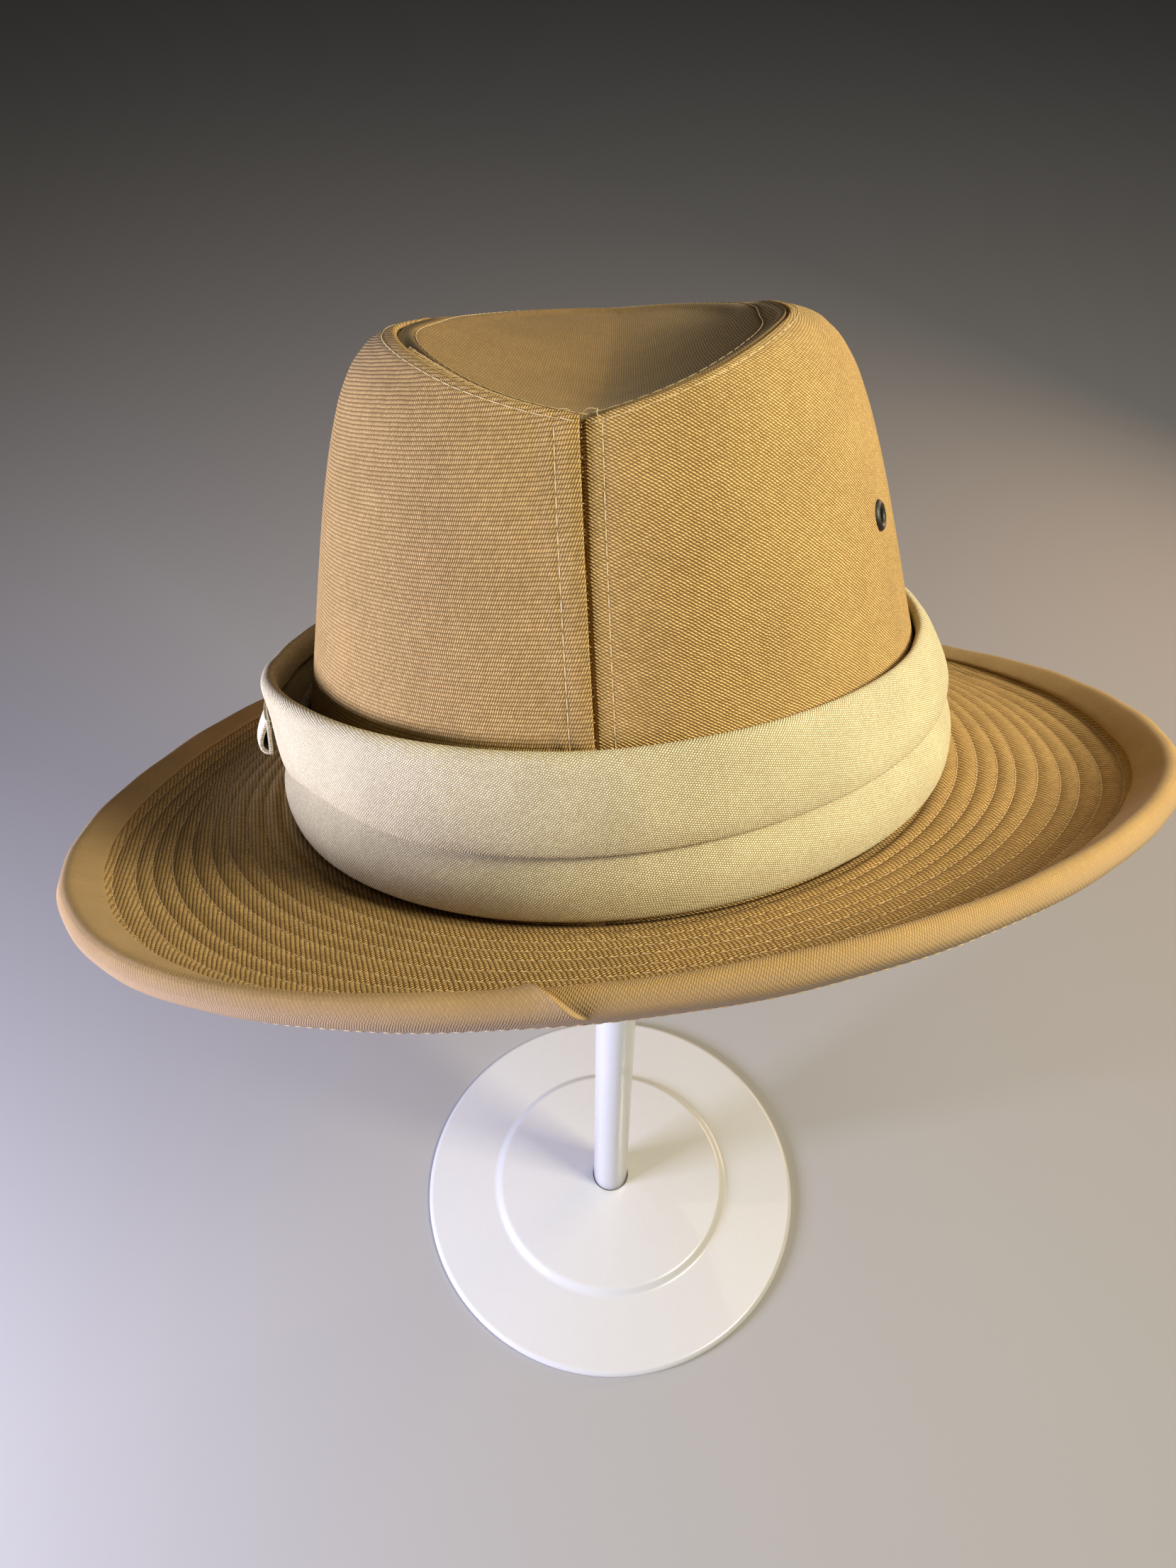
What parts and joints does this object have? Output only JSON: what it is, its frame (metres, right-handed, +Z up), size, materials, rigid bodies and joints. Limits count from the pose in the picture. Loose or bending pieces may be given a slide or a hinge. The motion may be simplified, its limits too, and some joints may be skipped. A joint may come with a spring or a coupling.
{
  "type": "fedora on a hat stand",
  "caption": "Stitched cotton fedora with a dented crown, a pleated cloth band with a flat bow and a curled bound brim, resting on a round stand.",
  "frame": {"origin": "middle of the stand's foot, on the surface that it stands on", "axes": "+Z up along the post, +Y towards the hat's front, +X towards the wearer's right"},
  "size_m": [0.2936, 0.2846, 0.4797],
  "materials": {
    "tan_twill": "matt cotton twill with pale topstitching",
    "cream_twill": "fine twill with a slight sheen",
    "black_enamel": "black enamel, slightly worn",
    "white_gloss": "white gloss paint"
  },
  "bodies": {
    "root": {"crown_right": "tan_twill", "crown_left": "tan_twill", "crown_tip": "tan_twill", "brim": "tan_twill", "brim_binding": "tan_twill", "hatband": "cream_twill", "bow": "cream_twill", "bow_keeper": "cream_twill", "eyelet": "black_enamel", "stand_base": "white_gloss", "stand_post": "white_gloss"}
  },
  "joints": []
}
